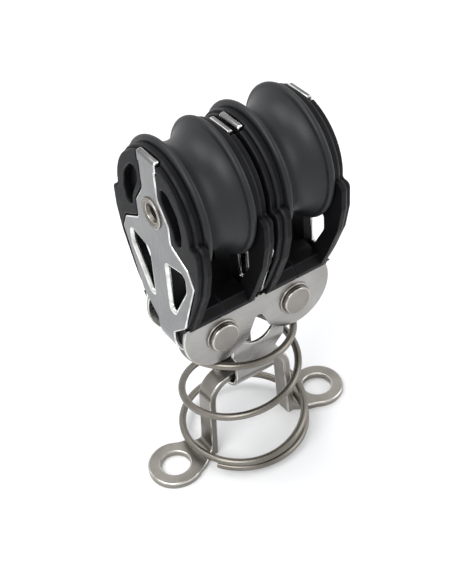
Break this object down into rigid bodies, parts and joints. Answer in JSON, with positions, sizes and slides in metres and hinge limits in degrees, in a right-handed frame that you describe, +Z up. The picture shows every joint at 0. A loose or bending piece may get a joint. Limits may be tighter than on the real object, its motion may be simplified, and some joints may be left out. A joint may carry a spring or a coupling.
{
  "type": "stand-up block",
  "caption": "Deck pulley block with side-by-side ball-bearing sheaves in black cheeks and steel straps, held upright by a coil spring on a bent saddle.",
  "frame": {"origin": "on the deck, midway between the two saddle feet, below the middle of the bar", "axes": "+X along the sheave axles, towards the right-hand sheave; +Y to the back; +Z up from the deck"},
  "size_m": [0.0406, 0.0238, 0.0661],
  "materials": {
    "sheave_plastic": "moulded acetal, matt black, satin in the groove",
    "cheek_plastic": "moulded nylon, fine matt texture, soft edges",
    "ball_plastic": "moulded acetal balls, natural white",
    "race_plastic": "moulded black sleeve",
    "strap_steel": "polished stainless sheet with rolled edges",
    "plate_steel": "polished stainless sheet",
    "rivet_steel": "turned stainless, fine rings on the heads",
    "saddle_steel": "tumbled stainless strip",
    "spring_steel": "drawn stainless wire"
  },
  "bodies": {
    "base": {"saddle": "saddle_steel", "spring": "spring_steel"},
    "head": {"race_left": "race_plastic", "axle_left": "strap_steel", "cheek_left_outer": "cheek_plastic", "cheek_left_inner": "cheek_plastic", "strap_left": "strap_steel", "rivet_left": "rivet_steel", "race_right": "race_plastic", "axle_right": "strap_steel", "cheek_right_outer": "cheek_plastic", "cheek_right_inner": "cheek_plastic", "strap_right": "strap_steel", "rivet_right": "rivet_steel", "front_plate": "plate_steel", "back_plate": "plate_steel", "yoke": "plate_steel"},
    "wheel_left": {"sheave_left": "sheave_plastic"},
    "wheel_right": {"sheave_right": "sheave_plastic"},
    "ball_set_left": {"balls_left": "ball_plastic"},
    "ball_set_right": {"balls_right": "ball_plastic"}
  },
  "joints": [
    {"name": "head_tilt", "type": "hinge", "parent": "base", "child": "head", "pos_m": [0, 0, 0.0176], "axis": [1, 0, 0], "range_deg": [-30, 30], "stiffness_Nm_per_rad": 0.6, "deforming": ["spring"]},
    {"name": "wheel_left_spin", "type": "hinge", "parent": "head", "child": "wheel_left", "pos_m": [-0.00705, 0, 0.0551], "axis": [1, 0, 0], "continuous": true},
    {"name": "ball_set_left_orbit", "type": "hinge", "parent": "head", "child": "ball_set_left", "pos_m": [-0.00705, 0, 0.0551], "axis": [1, 0, 0], "continuous": true},
    {"name": "wheel_right_spin", "type": "hinge", "parent": "head", "child": "wheel_right", "pos_m": [0.00705, 0, 0.0551], "axis": [1, 0, 0], "continuous": true},
    {"name": "ball_set_right_orbit", "type": "hinge", "parent": "head", "child": "ball_set_right", "pos_m": [0.00705, 0, 0.0551], "axis": [1, 0, 0], "continuous": true}
  ],
  "couplings": [
    {"joint": "ball_set_left_orbit", "follows": "wheel_left_spin", "ratio": 0.6688},
    {"joint": "ball_set_right_orbit", "follows": "wheel_right_spin", "ratio": 0.6688}
  ]
}
